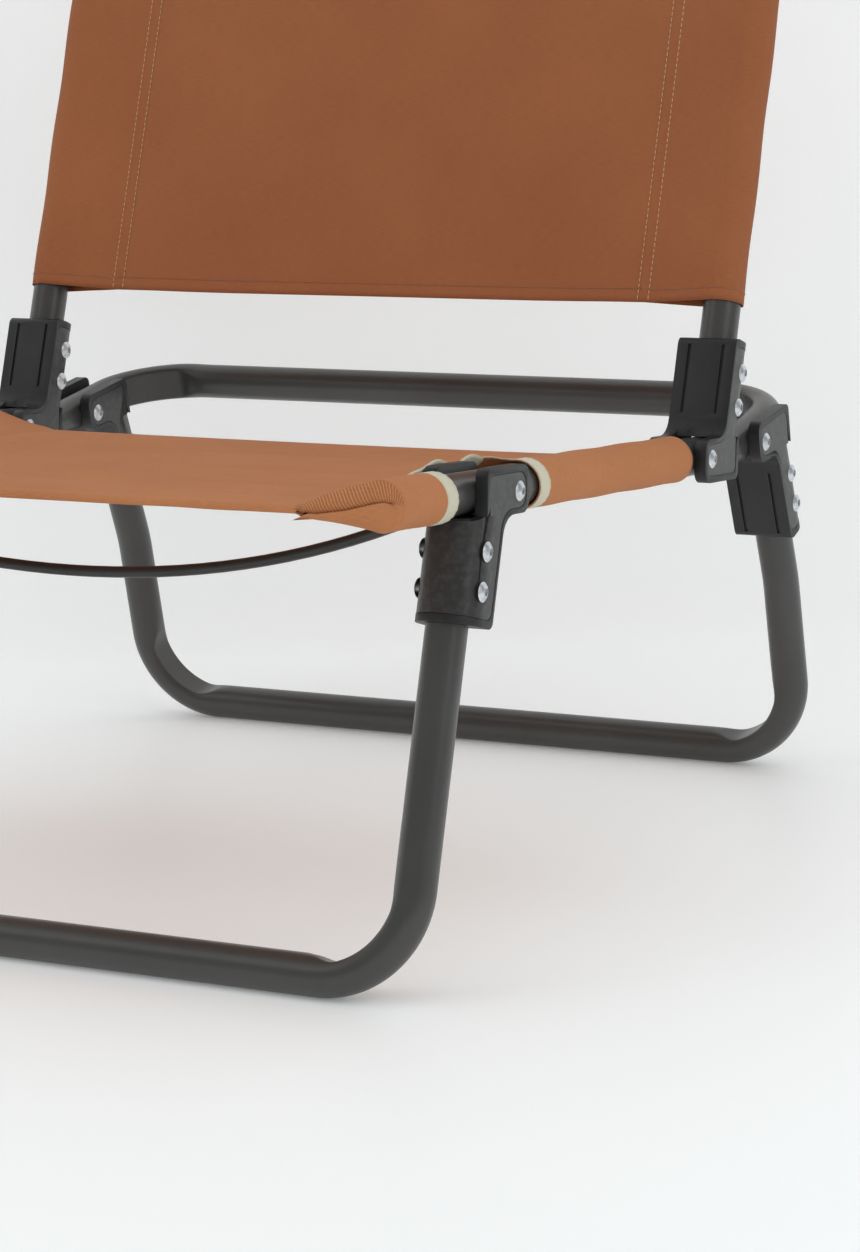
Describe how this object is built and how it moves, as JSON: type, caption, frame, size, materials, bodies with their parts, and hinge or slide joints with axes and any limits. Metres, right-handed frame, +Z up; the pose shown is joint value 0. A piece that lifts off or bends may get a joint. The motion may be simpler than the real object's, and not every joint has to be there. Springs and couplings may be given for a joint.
{
  "type": "folding camp chair",
  "caption": "Low folding chair: bent tube frame, canvas sling seat and back, and two leg frames and a back frame that fold flat on riveted brackets.",
  "frame": {"origin": "on the floor under the middle of the chair's outer box", "axes": "+X across the chair, +Y to its back, +Z up; the front of the chair faces -Y"},
  "size_m": [0.5796, 0.6098, 0.6407],
  "materials": {
    "frame_tube": "dark grey satin powder coat",
    "painted_strap": "dark grey satin powder coat on pressed steel",
    "black_plastic": "moulded black, slight sheen",
    "zinc_rivet": "bright zinc plate",
    "rod_steel": "dark satin paint",
    "seat_canvas": "rust brown plain weave canvas",
    "back_canvas": "rust brown plain weave canvas",
    "binding_tape": "cream woven tape"
  },
  "bodies": {
    "seat": {"seat_frame": "frame_tube", "rail_end_cap_left": "black_plastic", "rail_end_cap_right": "black_plastic", "spreader_rod": "rod_steel", "seat_canvas": "seat_canvas", "seat_binding_left": "binding_tape", "seat_binding_right": "binding_tape", "front_pivot_rivets": "zinc_rivet", "rear_pivot_rivets": "zinc_rivet", "back_pivot_rivets": "zinc_rivet"},
    "front_leg_set": {"front_leg": "frame_tube", "front_housing_left": "black_plastic", "front_housing_right": "black_plastic", "front_strap_left": "painted_strap", "front_strap_right": "painted_strap", "front_leg_rivets": "zinc_rivet"},
    "rear_leg_set": {"rear_leg": "frame_tube", "rear_housing_left": "black_plastic", "rear_housing_right": "black_plastic", "rear_strap_left": "painted_strap", "rear_strap_right": "painted_strap", "rear_leg_rivets": "zinc_rivet"},
    "backrest": {"back_frame": "frame_tube", "back_housing_left": "black_plastic", "back_housing_right": "black_plastic", "back_strap_left": "painted_strap", "back_strap_right": "painted_strap", "back_frame_rivets": "zinc_rivet", "back_canvas": "back_canvas"}
  },
  "joints": [
    {"name": "front_leg_fold", "type": "hinge", "parent": "seat", "child": "front_leg_set", "pos_m": [0, -0.16745, 0.278], "axis": [1, 0, 0], "range_deg": [0, 103.5]},
    {"name": "rear_leg_fold", "type": "hinge", "parent": "seat", "child": "rear_leg_set", "pos_m": [0, 0.19867, 0.24995], "axis": [-1, 0, 0], "range_deg": [0, 91]},
    {"name": "backrest_fold", "type": "hinge", "parent": "seat", "child": "backrest", "pos_m": [0, 0.10937, 0.25247], "axis": [1, 0, 0], "range_deg": [0, 104]}
  ]
}
